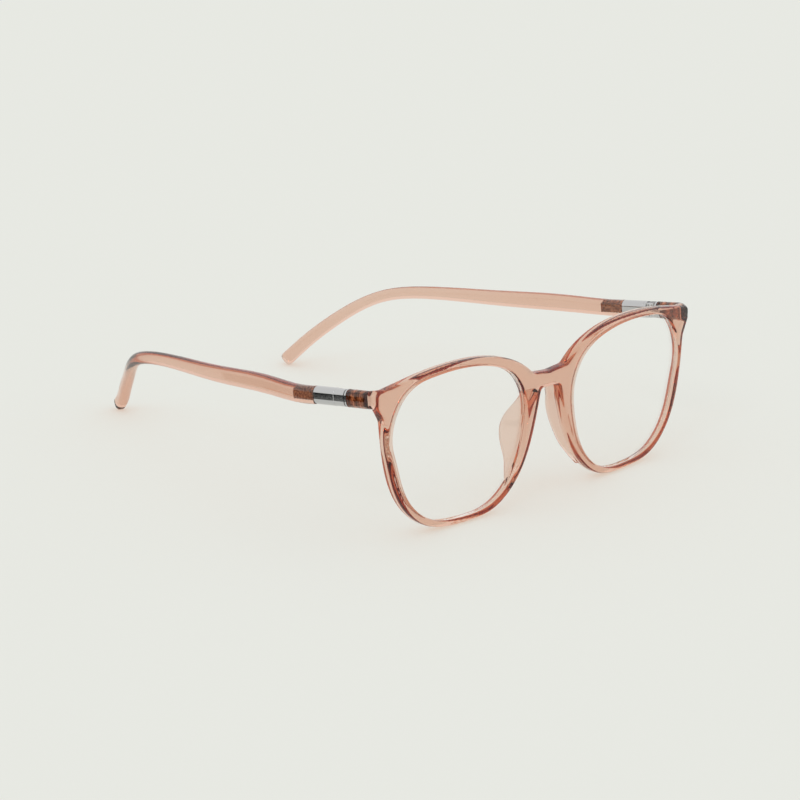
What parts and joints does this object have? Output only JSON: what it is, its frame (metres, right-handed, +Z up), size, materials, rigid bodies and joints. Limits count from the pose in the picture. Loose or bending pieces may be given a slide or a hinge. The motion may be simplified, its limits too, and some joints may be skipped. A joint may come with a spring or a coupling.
{
  "type": "blue light glasses",
  "caption": "Clear peach full-rim glasses with flat untinted lenses, sprung metal sleeve hinges and round-section temples bent down behind the ears.",
  "frame": {"origin": "middle of the underside of the bounding box, with the glasses standing open on the rims and temple tips", "axes": "+Z up, the front faces -Y, the temples run towards +Y, the wearer's left is +X"},
  "size_m": [0.1356, 0.1396, 0.0457],
  "materials": {
    "frame_plastic": "clear peach, polished",
    "temple_plastic": "clear peach, polished, a little milkier than the front",
    "lens": "clear, hard coated",
    "hinge_metal": "polished",
    "screw_metal": "turned",
    "spring_metal": "drawn wire",
    "anchor_metal": "serrated, seen through the plastic"
  },
  "bodies": {
    "front": {"front_frame": "frame_plastic", "lens_left": "lens", "lens_right": "lens", "nose_pad_left": "frame_plastic", "nose_pad_right": "frame_plastic", "hinge_leaf_left": "hinge_metal", "hinge_leaf_right": "hinge_metal"},
    "slider_left": {"hinge_slider_left": "hinge_metal", "hinge_screw_left": "screw_metal", "hinge_spring_left": "spring_metal", "spring_retainer_left": "spring_metal"},
    "temple_left": {"hinge_sleeve_left": "hinge_metal", "temple_anchor_left": "anchor_metal", "temple_arm_left": "temple_plastic"},
    "slider_right": {"hinge_slider_right": "hinge_metal", "hinge_screw_right": "screw_metal", "hinge_spring_right": "spring_metal", "spring_retainer_right": "spring_metal"},
    "temple_right": {"hinge_sleeve_right": "hinge_metal", "temple_anchor_right": "anchor_metal", "temple_arm_right": "temple_plastic"}
  },
  "joints": [
    {"name": "left_temple_fold", "type": "hinge", "parent": "front", "child": "slider_left", "pos_m": [0.0657, -0.05236, 0.03823], "axis": [-0.0057, 0.1632, 0.9866], "range_deg": [-8, 78]},
    {"name": "left_temple_spring", "type": "slide", "parent": "slider_left", "child": "temple_left", "axis": [-0.0344, 0.986, -0.1633], "range_m": [0, 0.0012], "stiffness_N_per_m": 3000, "springref_m": -0.001, "deforming": ["hinge_spring_left"]},
    {"name": "right_temple_fold", "type": "hinge", "parent": "front", "child": "slider_right", "pos_m": [-0.0657, -0.05236, 0.03823], "axis": [0.0057, 0.1632, 0.9866], "range_deg": [-66, 8]},
    {"name": "right_temple_spring", "type": "slide", "parent": "slider_right", "child": "temple_right", "axis": [0.0344, 0.986, -0.1633], "range_m": [0, 0.0012], "stiffness_N_per_m": 3000, "springref_m": -0.001, "deforming": ["hinge_spring_right"]}
  ]
}
